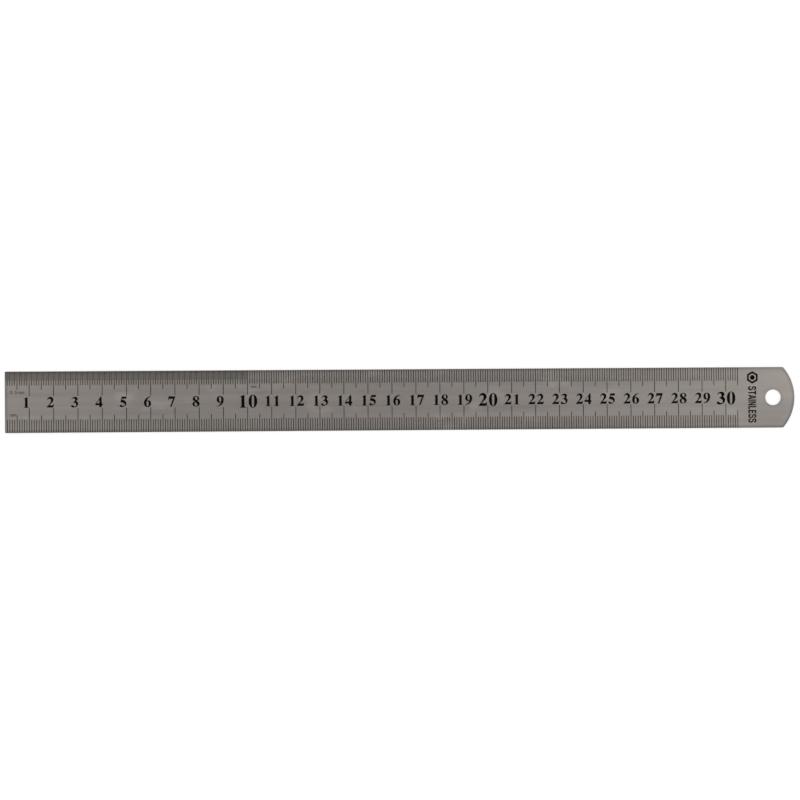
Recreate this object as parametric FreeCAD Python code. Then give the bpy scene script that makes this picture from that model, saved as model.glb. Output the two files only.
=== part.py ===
import FreeCAD, Part
import math
import os

# Steel ruler: one flat stainless strip, 30.5 cm of scale, square at the zero end and rounded at the
# other, with a hanging hole there. Every line and figure is a shallow etched recess filled with black
# paint, and each paint fill is a solid of its own that stands in its recess.
# Frame, in millimetres: X runs along the strip and equals the reading of the scale, Y runs across it
# from the centre line, and Z is up, with the back face at Z = 0.

V = FreeCAD.Vector
os.makedirs("parts", exist_ok=True)

# ---- blade ----
length = 329.0            # zero end to the tip of the rounded end
width = 25.4              # one-inch strip
thickness = 0.8
end_radius = 19.2         # arc of the rounded end
end_corner_round = 0.8    # where that arc meets the long edges
zero_corner_round = 0.3
edge_round = 0.12         # deburred edge, all round on both faces
hole_x = 320.0            # hanging hole, on the centre line
hole_radius = 3.25
half = width / 2.0

# ---- etching ----
etch_depth = 0.04
paint_thickness = 0.03    # the paint lies just under the face
edge_gap = 0.03           # flat left between an edge's rounding and a mark

# ---- scale ----
scale_end = 305.0         # the last mark, in mm
fine_end = 100.0          # half-millimetre marks on the upper edge stop here
line_width = 0.28
half_mm_line_width = 0.22
upper_half_mm_end = 8.87  # each is how far from the centre line a mark ends
upper_mm_end_fine = 6.95
upper_mm_end = 7.14
upper_five_end = 5.13
upper_cm_end = 2.52
lower_mm_end = 7.27
lower_five_end = 5.40
lower_cm_end = 2.52

# ---- figures, in a bold roman face drawn on a 1000-unit square, each digit 500 wide ----
figure_swell = 5          # units that the etching spreads past a figure's drawn outline
figure_size = 6.36
figure_base = -2.26
figure_left = -2.90       # a single digit, from its centimetre line
pair_left = -3.14         # first and second digit of a pair
pair_right = 0.40
tens_size = 7.76          # 10, 20 and 30 are larger
tens_base = -2.81
tens_left = -3.97
tens_right = 0.28

# ---- small lettering ----
legend_unit = 0.0019      # mm per unit of the plain face, whose capitals are 700 high
legend_swell = -6
steel_text = "STAINLESS"
steel_text_swell = 14
steel_text_height = 3.2
steel_text_start = 4.80   # Y of the first letter, which reads down the strip
steel_text_length = 15.5
steel_text_x = 309.55     # the letters' feet
symbol_x = 311.25         # plain hexagon with a disc in it
symbol_y = 8.40
symbol_radius = 2.60
symbol_band = 0.90
symbol_disc = 1.00

# A contour is a start point, then corners (x, y) and curves (c1x, c1y, c2x, c2y, x, y). The first
# contour of a shape is its outline, and a contour inside it is a counter.
ROMAN = {
    "0": [
        [(250, -13), (387, -13, 476, 134, 476, 340), (476, 546, 387, 688, 251, 688),
         (114, 688, 24, 544, 24, 337), (24, 132, 113, -13, 250, -13)],
        [(250, 16), (218, 16, 202, 40, 194, 92), (186, 148, 182, 226, 182, 342),
         (182, 452, 186, 540, 194, 594), (202, 638, 220, 660, 250, 660),
         (281, 660, 297, 638, 305, 592), (312, 538, 316, 450, 316, 338),
         (316, 226, 312, 146, 305, 90), (297, 38, 281, 16, 250, 16)],
    ],
    "1": [
        [(422, 0), (422, 18), (366, 22, 343, 42, 343, 104), (343, 680), (316, 680), (92, 566),
         (92, 547), (112, 556, 130, 562, 148, 562), (175, 562, 185, 547, 185, 504), (185, 104),
         (185, 42, 148, 22, 92, 18), (92, 0)],
    ],
    "2": [
        [(430, 8), (478, 208), (456, 208), (436, 160, 414, 148, 366, 148), (174, 148),
         (262, 240), (364, 336, 439, 408, 439, 500), (439, 610, 362, 692, 252, 692),
         (146, 692, 70, 624, 36, 496), (56, 490), (88, 550, 128, 577, 184, 577),
         (246, 577, 286, 540, 286, 474), (286, 360, 190, 220, 12, 36), (12, 8)],
    ],
    "3": [
        [(40, 540), (60, 530), (88, 568, 128, 588, 176, 588), (234, 588, 276, 556, 276, 496),
         (276, 428, 236, 378, 148, 358), (148, 338), (286, 304, 346, 246, 346, 160),
         (346, 98, 304, 58, 250, 58), (226, 58, 208, 68, 178, 98), (140, 136, 108, 150, 78, 150),
         (40, 150, 16, 124, 16, 86), (16, 30, 78, -4, 178, -4), (332, -4, 460, 104, 468, 238),
         (468, 318, 430, 380, 350, 418), (404, 452, 434, 496, 434, 556),
         (434, 636, 362, 680, 264, 680), (166, 680, 90, 632, 40, 540)],
    ],
    "4": [
        [(472, 252), (416, 252), (416, 688), (350, 688), (20, 230), (14, 134), (272, 134),
         (272, 0), (416, 0), (416, 134), (472, 134)],
        [(268, 256), (80, 256), (268, 526)],
    ],
    "5": [
        [(468, 678), (432, 542), (158, 542), (142, 492), (344, 458, 446, 362, 446, 238),
         (444, 132, 330, 18, 176, -2), (82, -6, 18, 26, 18, 82), (18, 120, 48, 146, 86, 146),
         (118, 146, 142, 132, 182, 98), (208, 76, 228, 64, 256, 64), (306, 64, 342, 106, 342, 170),
         (342, 262, 206, 304, 56, 316), (152, 678)],
    ],
    "6": [
        [(462, 682), (466, 664), (334, 628, 238, 534, 208, 394), (232, 412, 266, 426, 306, 426),
         (404, 426, 472, 344, 472, 218), (472, 84, 382, -10, 250, -10), (116, -10, 20, 90, 20, 250),
         (20, 492, 208, 668, 462, 682)],
        [(190, 350), (184, 308, 178, 266, 178, 222), (178, 96, 208, 22, 254, 22),
         (298, 22, 316, 78, 316, 186), (316, 302, 292, 366, 246, 366), (222, 366, 202, 360, 190, 350)],
    ],
    "7": [
        [(474, 676), (474, 646), (232, 0), (134, 0), (330, 524), (164, 524),
         (104, 524, 72, 502, 38, 446), (14, 446), (56, 676)],
    ],
    "8": [
        [(342, 376), (430, 324, 478, 258, 478, 182), (478, 72, 386, -2, 248, -2),
         (112, -2, 18, 66, 18, 166), (18, 242, 66, 296, 164, 330), (80, 388, 44, 440, 44, 520),
         (44, 616, 136, 686, 256, 686), (374, 686, 456, 620, 456, 528),
         (456, 468, 416, 418, 342, 376)],
        [(304, 410), (332, 444, 342, 480, 342, 536), (342, 604, 310, 648, 256, 648),
         (208, 648, 178, 614, 178, 566), (178, 516, 214, 466, 304, 410)],
        [(186, 294), (158, 260, 146, 220, 146, 166), (146, 90, 190, 36, 250, 36),
         (304, 36, 334, 72, 334, 124), (334, 182, 290, 234, 186, 294)],
    ],
    "9": [
        [(36, -8), (33, 12), (164, 54, 260, 150, 292, 282), (271, 257, 233, 245, 189, 245),
         (93, 245, 24, 327, 24, 455), (24, 592, 117, 686, 249, 686), (383, 686, 475, 585, 475, 429),
         (475, 190, 292, 12, 36, -8)],
        [(309, 325), (313, 367, 315, 409, 315, 453), (315, 578, 285, 648, 239, 648),
         (195, 648, 173, 595, 173, 489), (173, 367, 199, 303, 249, 303), (275, 303, 295, 311, 309, 325)],
    ],
}

PLAIN = {
    "0": [
        [(250, -12), (382, -12, 470, 120, 470, 350), (470, 580, 382, 712, 250, 712),
         (118, 712, 30, 580, 30, 350), (30, 120, 118, -12, 250, -12)],
        [(250, 96), (186, 96, 144, 180, 144, 350), (144, 520, 186, 604, 250, 604),
         (314, 604, 356, 520, 356, 350), (356, 180, 314, 96, 250, 96)],
    ],
    ".": [[(40, 0), (170, 0), (170, 130), (40, 130)]],
    "5": [
        [(430, 700), (98, 700), (52, 322), (150, 310), (172, 345, 204, 362, 244, 362),
         (312, 362, 352, 312, 352, 230), (352, 150, 310, 94, 240, 94), (186, 94, 150, 126, 140, 180),
         (26, 170), (38, 56, 122, -12, 240, -12), (380, -12, 472, 88, 472, 236),
         (472, 372, 388, 460, 268, 460), (226, 460, 190, 448, 160, 426), (184, 592), (430, 592)],
    ],
    "m": [
        [(60, 0), (60, 510), (150, 510), (150, 450), (185, 498, 240, 522, 295, 522),
         (355, 522, 398, 495, 418, 445), (455, 497, 510, 522, 565, 522),
         (650, 522, 700, 470, 700, 380), (700, 0), (598, 0), (598, 340),
         (598, 400, 575, 430, 530, 430), (470, 430, 431, 385, 431, 310), (431, 0), (329, 0),
         (329, 350), (329, 402, 305, 430, 262, 430), (202, 430, 162, 384, 162, 308), (162, 0)],
    ],
    "S": [
        [(470, 505), (462, 640, 378, 712, 248, 712), (122, 712, 36, 640, 36, 522),
         (36, 420, 100, 368, 222, 336), (330, 308, 352, 270, 352, 205), (352, 140, 312, 102, 246, 102),
         (176, 102, 132, 140, 128, 212), (16, 212), (20, 70, 110, -12, 248, -12),
         (385, -12, 472, 72, 472, 208), (472, 330, 402, 384, 276, 417), (180, 442, 156, 472, 156, 530),
         (156, 580, 192, 606, 246, 606), (310, 606, 346, 572, 352, 505)],
    ],
    "T": [[(180, 0), (300, 0), (300, 596), (466, 596), (466, 700), (14, 700), (14, 596), (180, 596)]],
    "A": [
        [(8, 0), (126, 0), (166, 160), (334, 160), (374, 0), (496, 0), (316, 700), (184, 700)],
        [(190, 262), (310, 262), (250, 520)],
    ],
    "I": [[(40, 0), (158, 0), (158, 700), (40, 700)]],
    "N": [
        [(44, 0), (156, 0), (156, 470), (356, 0), (466, 0), (466, 700), (354, 700), (354, 236),
         (156, 700), (44, 700)],
    ],
    "L": [[(44, 0), (412, 0), (412, 106), (162, 106), (162, 700), (44, 700)]],
    "E": [
        [(44, 0), (426, 0), (426, 106), (160, 106), (160, 306), (392, 306), (392, 408), (160, 408),
         (160, 594), (420, 594), (420, 700), (44, 700)],
    ],
}
ADVANCE = {"0": 510, ".": 210, "5": 500, "m": 720, "S": 520, "T": 480, "A": 510, "I": 215,
           "N": 525, "L": 440, "E": 470}


def wire(contour, place):
    """The closed wire of one contour, each point moved by place(x, y)."""
    start = at = place(*contour[0])
    edges = []
    for p in contour[1:]:
        pts = [place(p[i], p[i + 1]) for i in range(0, len(p), 2)]
        if len(pts) == 1:
            edges.append(Part.LineSegment(at, pts[0]).toShape())
        else:
            curve = Part.BezierCurve()
            curve.setPoles([at] + pts)
            edges.append(curve.toShape())
        at = pts[-1]
    if at.distanceToPoint(start) > 1e-6:
        edges.append(Part.LineSegment(at, start).toShape())
    return Part.Wire(edges)


def swollen(contour, by):
    """The contour with every corner and every curve's control point moved outward by this much."""
    flat = [p[i:i + 2] for p in contour for i in range(0, len(p), 2)]
    ring = flat[:-1] if flat[0] == flat[-1] else flat
    pairs = list(zip(ring, ring[1:] + ring[:1]))
    anticlockwise = sum(a[0] * b[1] - a[1] * b[0] for a, b in pairs) > 0
    way = [V(b[0] - a[0], b[1] - a[1], 0).normalize() for a, b in pairs]
    moved = []
    for i, (x, y) in enumerate(ring):
        before, after = way[i - 1], way[i]
        share = by / max(1 + before.dot(after), 0.5)
        if not anticlockwise:
            share = -share
        moved.append((x + (before.y + after.y) * share, y - (before.x + after.x) * share))
    moved += moved[:len(flat) - len(ring)]
    points = iter(moved)
    return [sum((next(points) for _ in range(len(p) // 2)), ()) for p in contour]


def glyph(contours, place, swell=0):
    """The flat face of one character, with its counters open and its strokes swollen on each side."""
    drawn = [swollen(c, -swell if i else swell) for i, c in enumerate(contours)]
    return Part.Face([wire(c, place) for c in drawn], "Part::FaceMakerBullseye")


def upright(x0, y0, sx, sy):
    return lambda x, y: V(x0 + x * sx, y0 + y * sy, 0)


def downward(x0, y0, run, rise):
    """Lettering that reads down the strip: its right is towards -Y and its top towards +X."""
    return lambda x, y: V(x0 + y * rise, y0 - x * run, 0)


def figure(text, spots, base, size):
    """Faces of a numeral, one digit at each spot."""
    k = size / 1000.0
    return [glyph(ROMAN[c], upright(x, base, k, k), figure_swell) for c, x in zip(text, spots)]


def legend(text, x, y):
    faces = []
    for c in text:
        faces.append(glyph(PLAIN[c], upright(x, y, legend_unit, legend_unit), legend_swell))
        x += ADVANCE[c] * legend_unit
    return faces


def mark(x, y_from, y_to, line=line_width):
    """One straight mark of the scale, centred on x."""
    w = line / 2.0
    pts = [V(x - w, y_from, 0), V(x + w, y_from, 0), V(x + w, y_to, 0), V(x - w, y_to, 0)]
    return Part.Face(Part.makePolygon(pts + pts[:1]))


def raised(faces, depth):
    """The faces as solids that stand on the recess floor, depth high."""
    floor = V(0, 0, thickness - etch_depth)
    solids = []
    for f in faces:
        g = f.copy()
        g.translate(floor)
        solids.append(g.extrude(V(0, 0, depth)))
    return solids


# ---- every mark and figure as flat faces, by node ----
start = half - edge_round - edge_gap
faces = {}

halves = [i * 0.5 for i in range(1, int(fine_end * 2)) if i % 2]
singles = [i for i in range(1, int(scale_end)) if i % 5]
fives = [i for i in range(5, int(scale_end) + 1, 5) if i % 10]
tens = [i for i in range(10, int(scale_end) + 1, 10)]

faces["upper_half_millimetre_marks"] = [
    mark(x, upper_half_mm_end, start, half_mm_line_width) for x in halves]
faces["upper_millimetre_marks"] = [
    mark(x, upper_mm_end_fine if x < fine_end else upper_mm_end, start) for x in singles]
faces["upper_five_millimetre_marks"] = [mark(x, upper_five_end, start) for x in fives]
faces["upper_centimetre_marks"] = [mark(x, upper_cm_end, start) for x in tens]
faces["lower_millimetre_marks"] = [mark(x, -start, -lower_mm_end) for x in singles]
faces["lower_five_millimetre_marks"] = [mark(x, -start, -lower_five_end) for x in fives]
faces["lower_centimetre_marks"] = [mark(x, -start, -lower_cm_end) for x in tens]

for n in range(1, 31):
    line = 10.0 * n
    if n < 10:
        f = figure(str(n), [line + figure_left], figure_base, figure_size)
    elif n % 10:
        f = figure(str(n), [line + pair_left, line + pair_right], figure_base, figure_size)
    else:
        f = figure(str(n), [line + tens_left, line + tens_right], tens_base, tens_size)
    faces["numeral_%02d" % n] = f

faces["legend_half_millimetre"] = (
    legend("0", 2.10, 3.40) + legend(".", 3.25, 3.40) + legend("5", 4.05, 3.40)
    + legend("mm", 5.25, 3.40))
faces["legend_millimetre_upper"] = legend("mm", 101.30, 5.15)
faces["legend_millimetre_lower"] = legend("mm", 1.95, -5.95)

total = sum(ADVANCE[c] for c in steel_text)
run = steel_text_length / total
rise = steel_text_height / 700.0
letters = []
along = steel_text_start
for c in steel_text:
    letters.append(glyph(PLAIN[c], downward(steel_text_x, along, run, rise), steel_text_swell))
    along -= ADVANCE[c] * run
faces["steel_grade_text"] = letters


def hexagon(r):
    pts = [V(symbol_x + r * math.sin(i * math.pi / 3), symbol_y + r * math.cos(i * math.pi / 3), 0)
           for i in range(6)]
    return Part.makePolygon(pts + pts[:1])


disc = Part.Wire(Part.Circle(V(symbol_x, symbol_y, 0), V(0, 0, 1), symbol_disc).toShape())
ring = Part.Face([hexagon(symbol_radius), hexagon(symbol_radius - symbol_band)],
                 "Part::FaceMakerBullseye")
faces["hexagon_symbol"] = [ring, Part.Face(disc)]

# ---- blade ----
arc_x = length - end_radius + math.sqrt(end_radius ** 2 - half ** 2)
a, b, c, d = V(0, -half, 0), V(arc_x, -half, 0), V(arc_x, half, 0), V(0, half, 0)
outline = Part.Wire([
    Part.LineSegment(a, b).toShape(),
    Part.Arc(b, V(length, 0, 0), c).toShape(),
    Part.LineSegment(c, d).toShape(),
    Part.LineSegment(d, a).toShape(),
])
blade = Part.Face(outline).extrude(V(0, 0, thickness))


def upright_edges(shape, x):
    """The two vertical edges of the blank at this x."""
    return [e for e in shape.Edges
            if abs(e.BoundBox.XMax - x) < 1e-4 and e.BoundBox.XLength < 1e-4
            and e.BoundBox.YLength < 1e-4]


blade = blade.makeFillet(zero_corner_round, upright_edges(blade, 0.0))
blade = blade.makeFillet(end_corner_round, upright_edges(blade, arc_x))
blade = blade.cut(Part.makeCylinder(hole_radius, 2 * thickness, V(hole_x, 0, -thickness / 2)))
rims = [e for e in blade.Edges if e.BoundBox.ZLength < 1e-6]
blade = blade.makeFillet(edge_round, rims)

recesses = []
for group in faces.values():
    recesses += raised(group, etch_depth + 0.2)
blade = blade.cut(recesses)
if blade.ShapeType == "Compound" and len(blade.Solids) == 1:
    blade = blade.Solids[0]
blade.exportStep("parts/blade.step")

count = 0
for node, group in faces.items():
    solids = raised(group, paint_thickness)
    count += len(solids)
    shape = solids[0] if len(solids) == 1 else Part.makeCompound(solids)
    shape.exportStep("parts/%s.step" % node)

print("blade valid", blade.isValid(), "solids", len(blade.Solids), "faces", len(blade.Faces),
      "volume", round(blade.Volume, 2), "mm3, paint fills", count)
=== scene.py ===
import math

import bpy
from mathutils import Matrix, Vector
from mathutils.geometry import delaunay_2d_cdt


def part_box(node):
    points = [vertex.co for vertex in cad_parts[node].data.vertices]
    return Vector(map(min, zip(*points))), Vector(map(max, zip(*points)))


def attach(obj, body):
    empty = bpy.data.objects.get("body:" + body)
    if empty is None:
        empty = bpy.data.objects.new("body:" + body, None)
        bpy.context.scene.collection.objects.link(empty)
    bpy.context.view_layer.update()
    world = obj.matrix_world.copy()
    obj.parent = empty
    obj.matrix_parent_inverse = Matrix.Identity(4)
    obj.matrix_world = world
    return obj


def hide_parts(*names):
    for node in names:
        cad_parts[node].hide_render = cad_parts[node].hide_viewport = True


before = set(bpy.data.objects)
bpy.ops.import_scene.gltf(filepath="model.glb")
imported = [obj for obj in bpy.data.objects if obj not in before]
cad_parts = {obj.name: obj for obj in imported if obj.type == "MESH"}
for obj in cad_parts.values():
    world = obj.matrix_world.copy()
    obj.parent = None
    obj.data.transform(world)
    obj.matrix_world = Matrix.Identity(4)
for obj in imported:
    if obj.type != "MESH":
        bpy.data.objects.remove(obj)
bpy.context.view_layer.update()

MM = 0.001

# ---- the blade's sizes, in millimetres, as in the CAD ----
low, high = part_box("blade")
LENGTH = (high.x - low.x) / MM
WIDTH = (high.y - low.y) / MM
THICK = (high.z - low.z) / MM
HALF = WIDTH / 2
END_RADIUS = 19.2          # arc of the rounded end
END_CORNER = 0.8           # corner between that arc and a long edge
END_CENTRE = LENGTH - END_RADIUS
ZERO_CORNER = 0.3
EDGE_ROUND = 0.12
HOLE = (320.0, 0.0)
HOLE_RADIUS = 3.25
RECESS_FLOOR = THICK - 0.04
RECESS_LEAN = 0.012        # how far a recess wall leans in over its depth
LEAN_LIMIT = 1.6           # most that a sharp corner leans in, as a multiple of that

# ---- how many steps round shapes and long edges are divided into ----
ROUND_STEPS = 5
ZERO_CORNER_STEPS = 6
END_CORNER_STEPS = 8
END_STEPS = 72
HOLE_STEPS = 96
LONG_EDGE_STEPS = 65
ZERO_EDGE_STEPS = 5

# ---- material slots of the blade's mesh ----
SATIN = 0
CUT = 1

# ---- where painted shade and painted light change the steel's tone, in millimetres ----
PAINTED_EDGE_SHADE = (0.10, 1.60)                 # painted shade, inside the outline
PAINTED_HOLE_SHADE = (0.65, 1.55)                   # painted shade, outside the hole's rim
PAINTED_CUT_LIGHT_SPAN = (1.25, 2.75)                  # outside the hole's rim, on the cut steel: painted light at the hole's wall, painted shade farther out
PAINTED_END_LIGHT_SPAN = (LENGTH - 29.0, LENGTH - 7.0)  # along X, where the painted light and shade on the plain end sets in
PAINTED_LIGHT_ACROSS = (-10.0, 5.0)                      # along Y, the painted light and shade from the darker to the lighter side


# ---------------------------------------------------------------- outlines
def arc(cx, cy, r, a0, a1, steps):
    """Points on an arc, with the outward direction at each."""
    out = []
    for i in range(steps + 1):
        a = a0 + (a1 - a0) * i / steps
        out.append((cx + r * math.cos(a), cy + r * math.sin(a), math.cos(a), math.sin(a)))
    return out


def blade_outline():
    """The blade's outline, anticlockwise from the zero end's lower corner, with outward normals."""
    quarter = math.pi / 2
    corner_x = END_CENTRE + math.sqrt((END_RADIUS - END_CORNER) ** 2 - (HALF - END_CORNER) ** 2)
    turn = math.atan2(HALF - END_CORNER, corner_x - END_CENTRE)
    run = corner_x - ZERO_CORNER
    xs = [ZERO_CORNER + run * i / LONG_EDGE_STEPS for i in range(1, LONG_EDGE_STEPS)]
    top = HALF - ZERO_CORNER
    ys = [top - 2 * top * i / ZERO_EDGE_STEPS for i in range(1, ZERO_EDGE_STEPS)]
    pts = arc(ZERO_CORNER, -top, ZERO_CORNER, 2 * quarter, 3 * quarter, ZERO_CORNER_STEPS)
    pts += [(x, -HALF, 0.0, -1.0) for x in xs]
    pts += arc(corner_x, -HALF + END_CORNER, END_CORNER, -quarter, -turn, END_CORNER_STEPS)
    pts += arc(END_CENTRE, 0, END_RADIUS, -turn, turn, END_STEPS)[1:-1]
    pts += arc(corner_x, HALF - END_CORNER, END_CORNER, turn, quarter, END_CORNER_STEPS)
    pts += [(x, HALF, 0.0, 1.0) for x in reversed(xs)]
    pts += arc(ZERO_CORNER, top, ZERO_CORNER, quarter, 2 * quarter, ZERO_CORNER_STEPS)
    pts += [(0.0, y, -1.0, 0.0) for y in ys]
    return pts


def hole_outline():
    """The hole's rim, clockwise, so that the steel is on the left; its normals point into the hole."""
    rim = arc(HOLE[0], HOLE[1], HOLE_RADIUS, 0.0, -2 * math.pi, HOLE_STEPS)[:-1]
    return [(x, y, -nx, -ny) for x, y, nx, ny in rim]


def section():
    """The edge's section from back face to etched face: (set-in, height, outward share, upward share)."""
    out = []
    for start, level in ((-math.pi / 2, EDGE_ROUND), (0.0, THICK - EDGE_ROUND)):
        for i in range(ROUND_STEPS + 1):
            a = start + math.pi / 2 * i / ROUND_STEPS
            height = level + EDGE_ROUND * math.sin(a)
            out.append((EDGE_ROUND * (1 - math.cos(a)), height, math.cos(a), math.sin(a)))
    return out


def sides_of(loop):
    """The directed sides of a closed loop of vertices."""
    return list(zip(loop, loop[1:] + loop[:1]))


def paint_top(obj):
    """The flat top of a paint fill: its points in mm, its triangles and its border as directed sides."""
    me = obj.data
    top = max(v.co.z for v in me.vertices)
    points, index, faces = [], {}, []
    for p in me.polygons:
        if p.normal.z < 0.9 or any(me.vertices[v].co.z < top - 1e-6 for v in p.vertices):
            continue
        ids = []
        for v in p.vertices:
            co = me.vertices[v].co
            key = (round(co.x * 1e7), round(co.y * 1e7))
            if key not in index:
                index[key] = len(points)
                points.append((co.x / MM, co.y / MM))
            ids.append(index[key])
        faces.append(ids)
    sides = {s for f in faces for s in sides_of(f)}
    return points, faces, [s for s in sides if (s[1], s[0]) not in sides]


def steel_region(tris, sides, verts):
    """The triangles on the left of the directed sides, spread across to their neighbours."""
    def turned(t):
        a, b, c = (verts[i] for i in t)
        return (b[0] - a[0]) * (c[1] - a[1]) - (b[1] - a[1]) * (c[0] - a[0]) < 0

    tris = [t[::-1] if turned(t) else t for t in tris]
    owner = {s: k for k, t in enumerate(tris) for s in sides_of(t)}
    inside = {owner[s] for s in sides}
    todo = list(inside)
    while todo:
        for a, b in sides_of(tris[todo.pop()]):
            if (a, b) in sides or (b, a) in sides:
                continue
            k = owner.get((b, a))
            if k is not None and k not in inside:
                inside.add(k)
                todo.append(k)
    return [tris[k] for k in sorted(inside)]


# ---------------------------------------------------------------- the blade
class Shell:
    """The blade's faces as they are added, with their vertices in millimetres."""

    def __init__(self):
        self.verts = []
        self.faces = []
        self.normals = []
        self.slots = []

    def face(self, ids, normals=None, slot=SATIN):
        self.faces.append(tuple(ids))
        self.normals.append(normals)
        self.slots.append(slot)

    def rounded_edge(self, outline):
        """The edge along an outline; gives its loops of vertices on the back and on the etched face."""
        rings = []
        for inset, z, out_share, up_share in section():
            ring = []
            for x, y, nx, ny in outline:
                ring.append((len(self.verts), (nx * out_share, ny * out_share, up_share)))
                self.verts.append((x - nx * inset, y - ny * inset, z))
            rings.append(ring)
        for lower, upper in zip(rings, rings[1:]):
            for (a, b), (c, d) in zip(sides_of(lower), sides_of(upper)):
                quad = (a, b, d, c)
                self.face([q[0] for q in quad], [q[1] for q in quad], CUT)
        return [v for v, _ in rings[0]], [v for v, _ in rings[-1]]

    def recess(self, paint_node):
        """The recess that a paint fill lies in; gives its sides on the etched face, recess on the left."""
        points, tris, border = paint_top(paint_node)
        rim = len(self.verts)
        floor = rim + len(points)
        lean = [Vector((0, 0)) for _ in points]
        for a, b in border:
            along = (Vector(points[b]) - Vector(points[a])).normalized()
            inward = Vector((-along.y, along.x))
            lean[a] += inward
            lean[b] += inward
        self.verts.extend((x, y, THICK) for x, y in points)
        for (x, y), v in zip(points, lean):
            if v.length > 1e-6:
                v = v.normalized() * RECESS_LEAN * min(2 / v.length, LEAN_LIMIT)
            self.verts.append((x + v.x, y + v.y, RECESS_FLOOR))
        for t in tris:
            self.face([floor + i for i in t])
        for a, b in border:
            self.face([rim + a, rim + b, floor + b, floor + a])
        return [(rim + a, rim + b) for a, b in border]

    def flat(self, sides, faces_down):
        """A flat face, on the left of the directed sides as seen from above."""
        used = sorted({v for s in sides for v in s})
        local = {v: i for i, v in enumerate(used)}
        corners = [Vector(self.verts[v][:2]) for v in used]
        edges = [(local[a], local[b]) for a, b in sides]
        _, _, tris, origins, _, _ = delaunay_2d_cdt(corners, edges, [], 0, 1e-6, True)
        tris = [[used[origins[i][0]] for i in t] for t in tris]
        for t in steel_region(tris, sides, self.verts):
            self.face(t[::-1] if faces_down else t)

    def mesh(self, name):
        me = bpy.data.meshes.new(name)
        me.from_pydata([(x * MM, y * MM, z * MM) for x, y, z in self.verts], [], self.faces)
        me.update()
        me.polygons.foreach_set("use_smooth", [True] * len(self.faces))
        me.polygons.foreach_set("material_index", self.slots)
        corner_normals = []
        for p, given in zip(me.polygons, self.normals):
            corner_normals += given or [tuple(p.normal)] * len(p.vertices)
        me.normals_split_custom_set(corner_normals)
        grain = me.uv_layers.new(name="grain")
        for loop in me.loops:
            co = me.vertices[loop.vertex_index].co
            grain.data[loop.index].uv = (co.x, co.y + co.z)
        return me


def make_blade(paint_nodes):
    """The whole blade: its edge, its hole, a recess for each paint fill, and the two faces."""
    shell = Shell()
    back, etched = set(), set()
    for outline in (blade_outline(), hole_outline()):
        back_loop, etched_loop = shell.rounded_edge(outline)
        back.update(sides_of(back_loop))
        etched.update(sides_of(etched_loop))
    for node in paint_nodes:
        etched.update((b, a) for a, b in shell.recess(node))
    shell.flat(etched, faces_down=False)
    shell.flat(back, faces_down=True)
    return shell.mesh("steel_blade")


# ---------------------------------------------------------------- node kit
class Nodes:
    """A short way to write a node tree."""

    def __init__(self, tree):
        self.tree = tree

    def add(self, kind, **values):
        node = self.tree.nodes.new(kind)
        for k, v in values.items():
            setattr(node, k, v)
        return node

    def put(self, socket, value):
        if isinstance(value, bpy.types.NodeSocket):
            self.tree.links.new(value, socket)
        else:
            socket.default_value = value

    def math(self, op, a, b=0.0, c=0.0):
        node = self.add("ShaderNodeMath", operation=op)
        for socket, value in zip(node.inputs, (a, b, c)):
            self.put(socket, value)
        return node.outputs[0]

    def sum(self, start, *terms):
        """start plus each (field, share) term's product."""
        for field, share in terms:
            start = self.math("MULTIPLY_ADD", field, share, start)
        return start

    def ramp(self, value, a, b, to_a=0.0, to_b=1.0):
        """value from a..b to to_a..to_b, eased and held at the ends."""
        node = self.add("ShaderNodeMapRange", interpolation_type="SMOOTHSTEP")
        for socket, v in zip(node.inputs, (value, a, b, to_a, to_b)):
            self.put(socket, v)
        return node.outputs[0]

    def over(self, distance, span, start, end):
        """start to end while a distance in metres goes over a span in millimetres."""
        return self.ramp(distance, span[0] * MM, span[1] * MM, start, end)

    def mix(self, factor, a, b, blend="MIX"):
        node = self.add("ShaderNodeMix", data_type="RGBA", blend_type=blend)
        self.put(node.inputs[0], factor)
        self.put(node.inputs[6], a)
        self.put(node.inputs[7], b)
        return node.outputs[2]

    def split(self, vector):
        node = self.add("ShaderNodeSeparateXYZ")
        self.put(node.inputs[0], vector)
        return node.outputs


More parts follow.
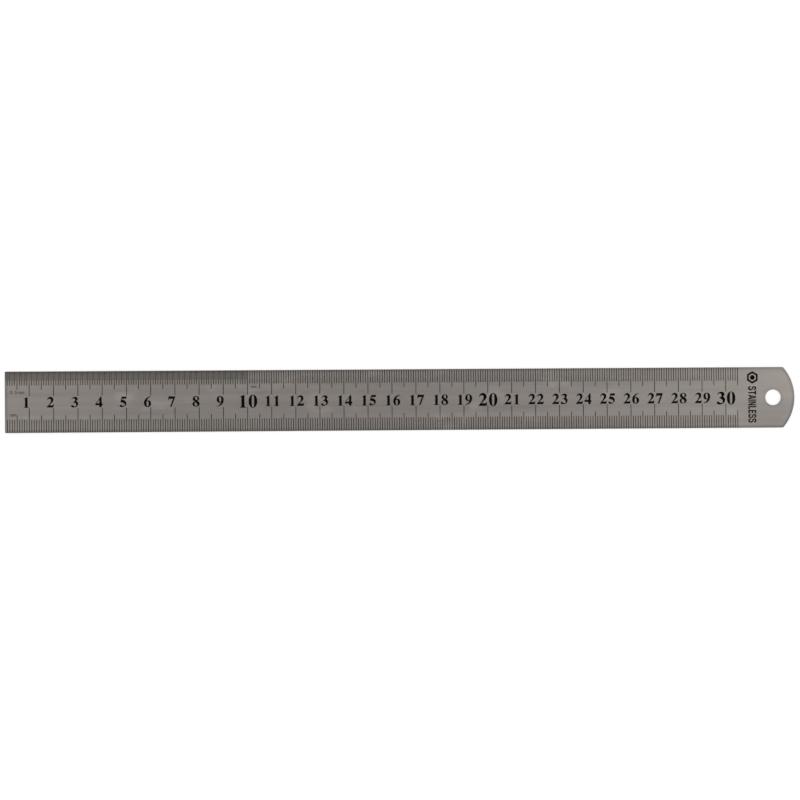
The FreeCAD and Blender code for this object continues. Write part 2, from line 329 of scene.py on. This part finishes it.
class Finish(Nodes):
    """A material as a node tree, in the object's own coordinates in metres."""

    def __init__(self, name):
        self.material = bpy.data.materials.new(name)
        self.material.use_nodes = True
        super().__init__(self.material.node_tree)
        self.shader = self.tree.nodes["Principled BSDF"]
        self.place = self.add("ShaderNodeTexCoord").outputs["Object"]
        self.x, self.y, _ = self.split(self.place)

    def set(self, name, value):
        self.put(self.shader.inputs[name], value)

    def stretched(self, scale, turn=0.0, shift=(0.0, 0.0, 0.0)):
        node = self.add("ShaderNodeMapping")
        self.put(node.inputs["Vector"], self.place)
        node.inputs["Scale"].default_value = scale
        node.inputs["Rotation"].default_value = (0.0, 0.0, turn)
        node.inputs["Location"].default_value = shift
        return node.outputs[0]

    def noise(self, vector, detail=2.0, rough=0.5):
        node = self.add("ShaderNodeTexNoise")
        self.put(node.inputs["Vector"], vector)
        node.inputs["Scale"].default_value = 1.0
        node.inputs["Detail"].default_value = detail
        node.inputs["Roughness"].default_value = rough
        return node.outputs["Fac"]

    def shaded(self, colour, tone):
        """A colour made lighter or darker by a tone."""
        grey = self.add("ShaderNodeCombineColor")
        for socket in grey.inputs:
            self.put(socket, tone)
        return self.mix(1.0, colour, grey.outputs[0], "MULTIPLY")

    def bump(self, height, distance, under=None):
        node = self.add("ShaderNodeBump")
        node.inputs["Strength"].default_value = 1.0
        node.inputs["Distance"].default_value = distance
        self.put(node.inputs["Height"], height)
        if under is not None:
            self.put(node.inputs["Normal"], under)
        return node.outputs[0]

    def reach(self, dx, dy):
        squares = self.math("ADD", self.math("MULTIPLY", dx, dx), self.math("MULTIPLY", dy, dy))
        return self.math("SQRT", squares)

    def past_hole_rim(self):
        """How far a point is outside the hanging hole's rim."""
        from_centre = self.reach(self.math("SUBTRACT", self.x, HOLE[0] * MM), self.y)
        return self.math("SUBTRACT", from_centre, HOLE_RADIUS * MM)

    def inside_outline(self):
        """How far a point is inside the blade's outline."""
        side = self.math("SUBTRACT", HALF * MM, self.math("ABSOLUTE", self.y))
        past = self.math("MAXIMUM", self.math("SUBTRACT", self.x, END_CENTRE * MM), 0.0)
        end = self.math("SUBTRACT", END_RADIUS * MM, self.reach(past, self.y))
        return self.math("MINIMUM", self.math("MINIMUM", side, self.x), end)


# ---------------------------------------------------------------- finishes
STEEL = (0.546, 0.498, 0.465, 1.0)
CUT_STEEL = (0.52, 0.49, 0.45, 1.0)
WARM_TINT = (1.020, 1.0, 0.970, 1.0)
COOL_TINT = (0.982, 1.0, 1.024, 1.0)
FRESH_PAINT = (0.0016, 0.0013, 0.0010, 1.0)
WORN_PAINT = (0.0060, 0.0052, 0.0044, 1.0)

# hairline scratches: turn from the strip's length, stretch, and shift of the pattern
HAIRLINES = (
    (0.05, (14.0, 1500.0, 1.0), 1.7),
    (-0.22, (22.0, 900.0, 1.0), 5.3),
    (0.9, (30.0, 520.0, 1.0), 8.9),
)


def hairlines(n):
    """Sparse fine scratches, most of them nearly along the strip."""
    hairs = None
    for turn, scale, shift in HAIRLINES:
        field = n.noise(n.stretched(scale, turn, (shift, 2 * shift, 0.0)), 1.0, 0.4)
        off = n.math("ABSOLUTE", n.math("SUBTRACT", field, 0.5))
        line = n.ramp(off, 0.002, 0.009, 1.0, 0.0)
        gate = n.noise(n.stretched((45.0, 45.0, 45.0), 0.0, (shift, 0.0, shift)), 1.0)
        line = n.math("MULTIPLY", line, n.ramp(gate, 0.56, 0.66))
        hairs = line if hairs is None else n.math("MAXIMUM", hairs, line)
    return hairs


def satin_steel():
    """The etched and back faces: rolled and satin-finished along the strip."""
    n = Finish("satin_stainless_steel")
    lines = n.noise(n.stretched((26.0, 5200.0, 5200.0)), 5.0, 0.62)
    fine = n.noise(n.stretched((90.0, 16000.0, 16000.0), 0.0, (3.1, 7.7, 0.0)), 3.0, 0.6)
    streak = n.noise(n.stretched((5.0, 420.0, 420.0), 0.0, (9.3, 1.1, 0.0)), 3.0, 0.55)
    cloud = n.noise(n.stretched((17.0, 30.0, 30.0), 0.0, (2.2, 5.5, 0.0)), 3.0, 0.5)
    smudge = n.noise(n.stretched((60.0, 105.0, 105.0), 0.5, (4.0, 8.0, 0.0)), 4.0, 0.6)
    smear = n.ramp(smudge, 0.54, 0.72)
    tint = n.noise(n.stretched((11.0, 40.0, 40.0), 0.0, (6.0, 2.0, 0.0)), 2.0, 0.5)
    hairs = hairlines(n)

    # painted shade just inside the outline and round the hole, and painted light and shade across the
    # plain end
    border = n.over(n.inside_outline(), PAINTED_EDGE_SHADE, 1.0, 0.0)
    ring = n.over(n.past_hole_rim(), PAINTED_HOLE_SHADE, 1.0, 0.0)
    # painted light and shade: the plain end made lighter towards +Y and darker towards -Y
    painted_end_light = n.over(n.x, PAINTED_END_LIGHT_SPAN, 0.0, 1.0)
    across = n.over(n.y, PAINTED_LIGHT_ACROSS, -0.115, 0.055)

    tone = n.sum(0.835, (lines, 0.14), (streak, 0.10), (cloud, 0.09), (smear, -0.020), (hairs, 0.06),
                 (border, -0.32), (ring, -0.085), (painted_end_light, across))
    tinted = n.mix(1.0, STEEL, n.mix(tint, WARM_TINT, COOL_TINT), "MULTIPLY")
    n.set("Base Color", n.shaded(tinted, tone))
    n.set("Roughness", n.sum(0.25, (lines, 0.12), (streak, 0.06), (smear, 0.05), (hairs, -0.03)))
    normal = n.bump(n.math("MULTIPLY_ADD", fine, 0.45, lines), 0.0022 * MM)
    n.set("Normal", n.bump(n.math("MULTIPLY", hairs, -1.0), 0.0015 * MM, normal))
    n.set("Metallic", 1.0)
    n.set("Anisotropic", 0.45)
    n.set("Tangent", n.add("ShaderNodeTangent", direction_type="UV_MAP", uv_map="grain").outputs[0])
    return n.material


def cut_steel():
    """The stamped and deburred edges: upright striations across the thickness, with painted light that
    makes the hole's wall brighter and painted shade that darkens the outer edge.
    """
    n = Finish("cut_stainless_edge")
    stripes = n.noise(n.stretched((2600.0, 2600.0, 160.0)), 4.0, 0.6)
    patches = n.noise(n.stretched((240.0, 240.0, 900.0), 0.0, (1.0, 4.0, 2.0)), 3.0, 0.55)
    # painted light on the hole's cut wall, painted shade on the outer edges
    painted_cut_light_shade = n.over(n.past_hole_rim(), PAINTED_CUT_LIGHT_SPAN, 0.95, 0.30)
    tone = n.math("MULTIPLY", n.sum(0.70, (stripes, 0.22), (patches, 0.20)), painted_cut_light_shade)
    n.set("Base Color", n.shaded(CUT_STEEL, tone))
    n.set("Roughness", n.sum(0.24, (stripes, 0.16), (patches, 0.10)))
    n.set("Normal", n.bump(stripes, 0.006 * MM))
    n.set("Metallic", 1.0)
    return n.material


def marking_paint():
    """Matt black enamel that fills the etching."""
    n = Finish("black_marking_paint")
    grit = n.noise(n.stretched((9000.0, 9000.0, 9000.0)), 3.0, 0.6)
    cloud = n.noise(n.stretched((320.0, 320.0, 320.0), 0.0, (3.0, 1.0, 0.0)), 3.0, 0.5)
    worn = n.ramp(n.sum(0.0, (grit, 0.5), (cloud, 0.5)), 0.56, 0.74)
    n.set("Base Color", n.mix(worn, FRESH_PAINT, WORN_PAINT))
    n.set("Roughness", n.sum(0.50, (grit, 0.22)))
    n.set("Normal", n.bump(grit, 0.0025 * MM))
    n.set("Specular IOR Level", 0.05)
    return n.material


def white_sweep():
    """White paper that also shines a little itself, so that it reads as white up to the strip."""
    n = Finish("white_sweep")
    soft = n.noise(n.stretched((6.0, 6.0, 6.0)))
    n.set("Base Color", n.mix(soft, (0.49, 0.49, 0.49, 1.0), (0.51, 0.51, 0.508, 1.0)))
    n.set("Roughness", 0.9)
    n.set("Specular IOR Level", 0.0)
    n.set("Emission Color", (1.0, 1.0, 1.0, 1.0))
    n.set("Emission Strength", 0.60)
    return n.material


# ---------------------------------------------------------------- pieces
def link(obj):
    bpy.context.scene.collection.objects.link(obj)
    return obj


paint_names = sorted(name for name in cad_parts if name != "blade")
paint = marking_paint()
for name in paint_names:
    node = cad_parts[name]
    node.data.materials.clear()
    node.data.materials.append(paint)

blade_mesh = make_blade([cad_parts[name] for name in paint_names])
blade_mesh.materials.append(satin_steel())
blade_mesh.materials.append(cut_steel())
blade = link(bpy.data.objects.new("steel_blade", blade_mesh))
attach(blade, "root")
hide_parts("blade")

# ---------------------------------------------------------------- floor, light and camera
MIDDLE = (0.16, 0.0, 0.0)
FLOOR_REACH = 6.0
FLOOR_DROP = 0.00002       # keeps the floor just clear of the back face
LAMP_SIZE = 0.9
LAMPS = (("softbox_left", (-1.15, -0.35, 1.15), 2.7), ("softbox_right", (1.45, 0.25, 1.15), 3.0))
WALLS = 1.09
PAPER = 1.05
CEILING_STARTS = 0.72      # upward share of a direction that just leaves the walls
CEILING_FULL = 0.92
LENS = 97.302
CAMERA_PLACE = (0.12359, 0.00017, 0.900)
CAMERA_TURN = (0.0, -0.044163, -0.006649)
# brightness of the ceiling from the zero end's side, 0, to the hole's side, 1
CEILING = ((0.0, 1.9), (0.38, 0.51), (0.445, 0.02), (0.60, 0.02), (0.648, 0.82), (0.74, 0.82), (1.0, 1.0))


def make_floor():
    r = FLOOR_REACH
    me = bpy.data.meshes.new("floor")
    me.from_pydata([(-r, -r, 0), (r, -r, 0), (r, r, 0), (-r, r, 0)], [], [(0, 1, 2, 3)])
    me.materials.append(white_sweep())
    obj = link(bpy.data.objects.new("floor", me))
    obj.location = (MIDDLE[0], MIDDLE[1], -FLOOR_DROP)
    return obj


def make_lamp(name, place, power):
    data = bpy.data.lights.new(name, "AREA")
    data.shape = "SQUARE"
    data.size = LAMP_SIZE
    data.energy = power
    obj = link(bpy.data.objects.new(name, data))
    obj.location = place
    obj.rotation_euler = (Vector(MIDDLE) - Vector(place)).to_track_quat("-Z", "Y").to_euler()


def make_studio():
    """Pale walls all round, and above the strip a dark gap in the ceiling, so that the steel reflects
    mid grey there and lighter grey towards its ends. The camera itself sees white paper."""
    world = bpy.data.worlds.new("studio")
    bpy.context.scene.world = world
    world.use_nodes = True
    world.node_tree.nodes.clear()
    n = Nodes(world.node_tree)

    def background(colour, strength):
        node = n.add("ShaderNodeBackground")
        n.put(node.inputs["Color"], colour)
        n.put(node.inputs["Strength"], strength)
        return node.outputs[0]

    along, _, up = n.split(n.add("ShaderNodeTexCoord").outputs["Generated"])
    ceiling = n.add("ShaderNodeValToRGB")
    ceiling.color_ramp.interpolation = "EASE"
    stops = ceiling.color_ramp.elements
    while len(stops) < len(CEILING):
        stops.new(0.5)
    for stop, (at, value) in zip(stops, CEILING):
        stop.position = at
        stop.color = (value, value, value, 1.0)
    n.put(ceiling.inputs[0], n.math("MULTIPLY_ADD", along, 0.5, 0.5))
    overhead = n.ramp(up, CEILING_STARTS, CEILING_FULL)
    room = n.mix(overhead, (WALLS, WALLS, WALLS, 1.0), ceiling.outputs[0])
    seen = n.add("ShaderNodeMixShader")
    n.put(seen.inputs[0], n.add("ShaderNodeLightPath").outputs["Is Camera Ray"])
    n.put(seen.inputs[1], background(room, 1.0))
    n.put(seen.inputs[2], background((1.0, 1.0, 1.0, 1.0), PAPER))
    n.put(n.add("ShaderNodeOutputWorld").inputs[0], seen.outputs[0])


def make_camera():
    """Nearly straight above the ruler, with a long lens."""
    data = bpy.data.cameras.new("camera")
    data.lens = LENS
    data.sensor_width = 36.0
    data.clip_end = 50.0
    camera = link(bpy.data.objects.new("camera", data))
    camera.location = CAMERA_PLACE
    camera.rotation_euler = CAMERA_TURN
    bpy.context.scene.camera = camera


def set_view():
    view = bpy.context.scene.view_settings
    view.view_transform = "Standard"
    view.look = "None"
    view.exposure = 0.0
    view.gamma = 1.0


make_floor()
for name, place, power in LAMPS:
    make_lamp(name, place, power)
make_studio()
set_view()
make_camera()
